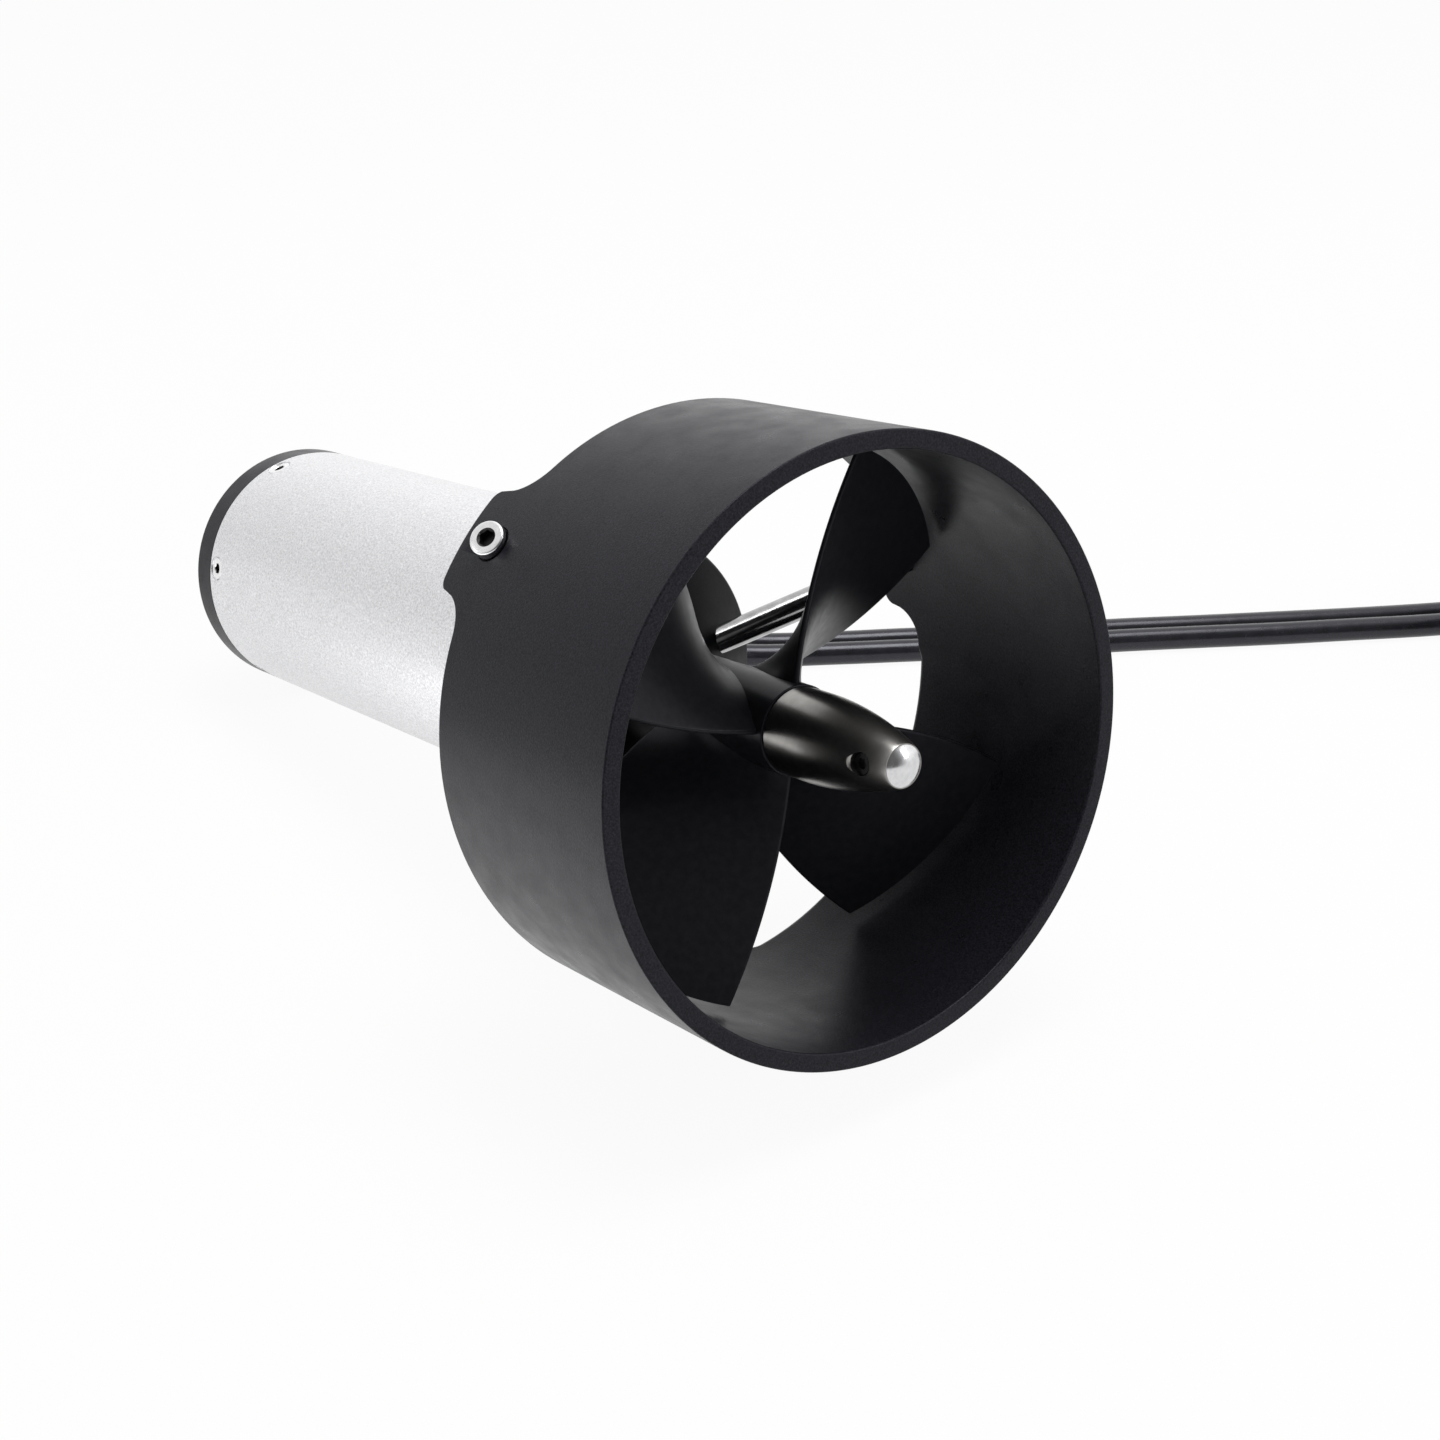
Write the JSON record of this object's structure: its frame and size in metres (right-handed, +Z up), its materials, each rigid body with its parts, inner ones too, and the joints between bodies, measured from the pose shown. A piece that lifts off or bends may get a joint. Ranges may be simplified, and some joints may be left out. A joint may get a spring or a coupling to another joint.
{
  "type": "ducted underwater thruster",
  "caption": "Ducted underwater thruster: a sealed tube motor on flying leads turns a wide-bladed propeller inside a ring duct carried on slanted struts.",
  "frame": {"origin": "on the ground, under the middle of the thruster's box without its leads, as it lies on a duct screw and its rear cap", "axes": "+X is the level direction of the shaft towards the open duct and nose, which points up by 10.32 degrees; +Z is up"},
  "size_m": [0.3146, 0.3728, 0.1303],
  "materials": {
    "silver_anodised": "bead-blasted, clear anodised",
    "black_anodised": "bead-blasted, matt black anodised",
    "black_polished": "polished, gloss black anodised",
    "black_machined": "machined, satin black anodised",
    "stainless": "bright stainless steel",
    "bearing_steel": "ground steel",
    "ferrite": "sintered",
    "copper": "enamelled wire and bar",
    "laminate": "phenolic sheet",
    "graphite": "pressed carbon",
    "gland_metal": "black anodised",
    "seal_rubber": "nitrile",
    "lead_rubber": "smooth gloss sheath",
    "shrink_plastic": "satin sleeve",
    "gilt": "gilt"
  },
  "bodies": {
    "housing": {"motor_tube": "silver_anodised", "front_cap": "black_anodised", "rear_cap": "black_anodised", "front_o_ring": "seal_rubber", "rear_o_ring": "seal_rubber", "front_cap_screws": "stainless", "rear_cap_screws": "stainless", "shaft_seals": "seal_rubber", "seal_circlip": "bearing_steel", "front_bearing_outer": "bearing_steel", "front_bearing_balls": "stainless", "rear_bearing_outer": "bearing_steel", "rear_bearing_balls": "stainless", "flux_ring": "bearing_steel", "field_magnets": "ferrite", "brush_plate": "laminate", "brushes": "graphite", "brush_springs": "stainless", "inner_leads": "lead_rubber", "strut_left": "black_polished", "strut_right": "black_polished", "strut_lower": "black_polished", "duct": "black_anodised", "duct_screws": "stainless", "lead_penetrators": "gland_metal", "penetrator_o_rings": "seal_rubber", "lead_a": "lead_rubber", "lead_b": "lead_rubber", "lead_coil": "lead_rubber", "coil_tie": "shrink_plastic", "bullet_connectors": "gilt", "heat_shrink": "shrink_plastic"},
    "rotor": {"shaft": "stainless", "armature_core": "bearing_steel", "armature_winding": "copper", "commutator": "copper", "front_bearing_inner": "bearing_steel", "rear_bearing_inner": "bearing_steel", "drive_pin": "bearing_steel", "propeller": "black_machined", "spinner_nut": "black_polished", "spinner_grub_screw": "bearing_steel"}
  },
  "joints": [
    {"name": "propeller_spin", "type": "hinge", "parent": "housing", "child": "rotor", "pos_m": [0.07885, 0, 0.0652], "axis": [0.9838, 0, 0.1791], "continuous": true}
  ]
}
